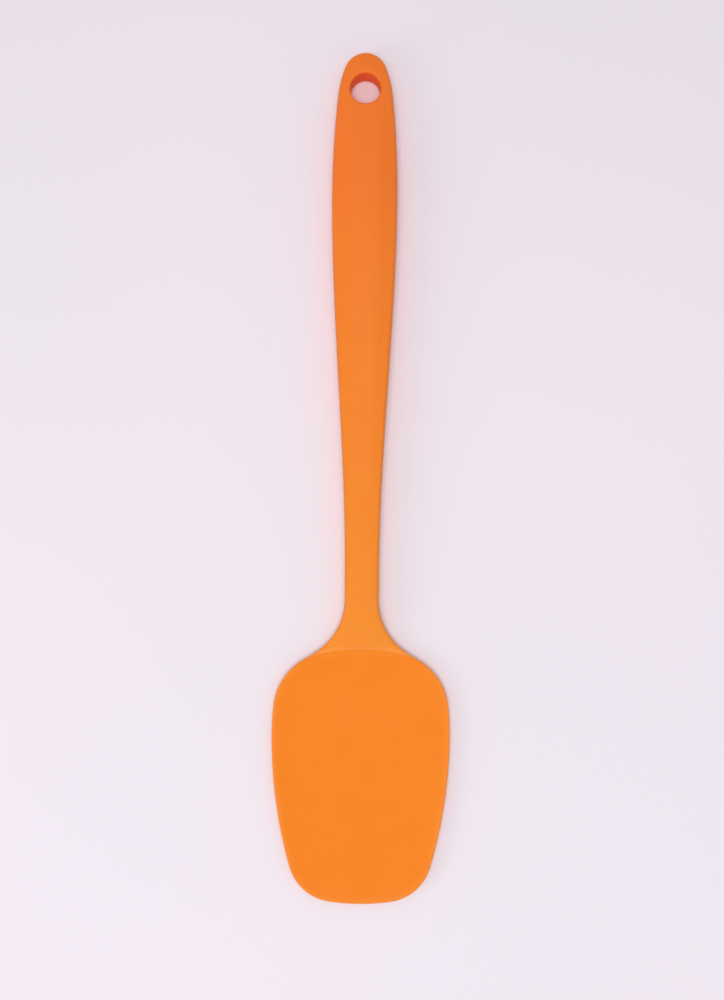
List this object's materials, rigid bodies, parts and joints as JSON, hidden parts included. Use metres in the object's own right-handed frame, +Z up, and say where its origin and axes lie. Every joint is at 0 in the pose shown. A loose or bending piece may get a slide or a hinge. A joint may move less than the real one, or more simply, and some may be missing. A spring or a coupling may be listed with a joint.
{
  "type": "silicone spatula",
  "caption": "Seamless silicone spatula with a thin shallow-dished blade, a flared neck and a rounded handle with a hanging hole, moulded over a nylon spine and a thin steel blade plate.",
  "frame": {"origin": "on the surface that the spatula lies on, under the middle of its bounding box", "axes": "+X across the blade, +Y along the handle towards the hanging end, +Z up, out of the dished face; the blade's tip points to -Y"},
  "size_m": [0.0588, 0.28, 0.0116],
  "materials": {
    "silicone": "satin orange food-grade silicone, seamless, slightly translucent at the lip",
    "nylon": "natural glass-filled nylon, matt, never seen",
    "spring_steel": "cold-rolled stainless strip, fine grain, never seen"
  },
  "bodies": {
    "root": {"silicone_body": "silicone", "handle_spine": "nylon", "blade_plate": "spring_steel"}
  },
  "joints": []
}
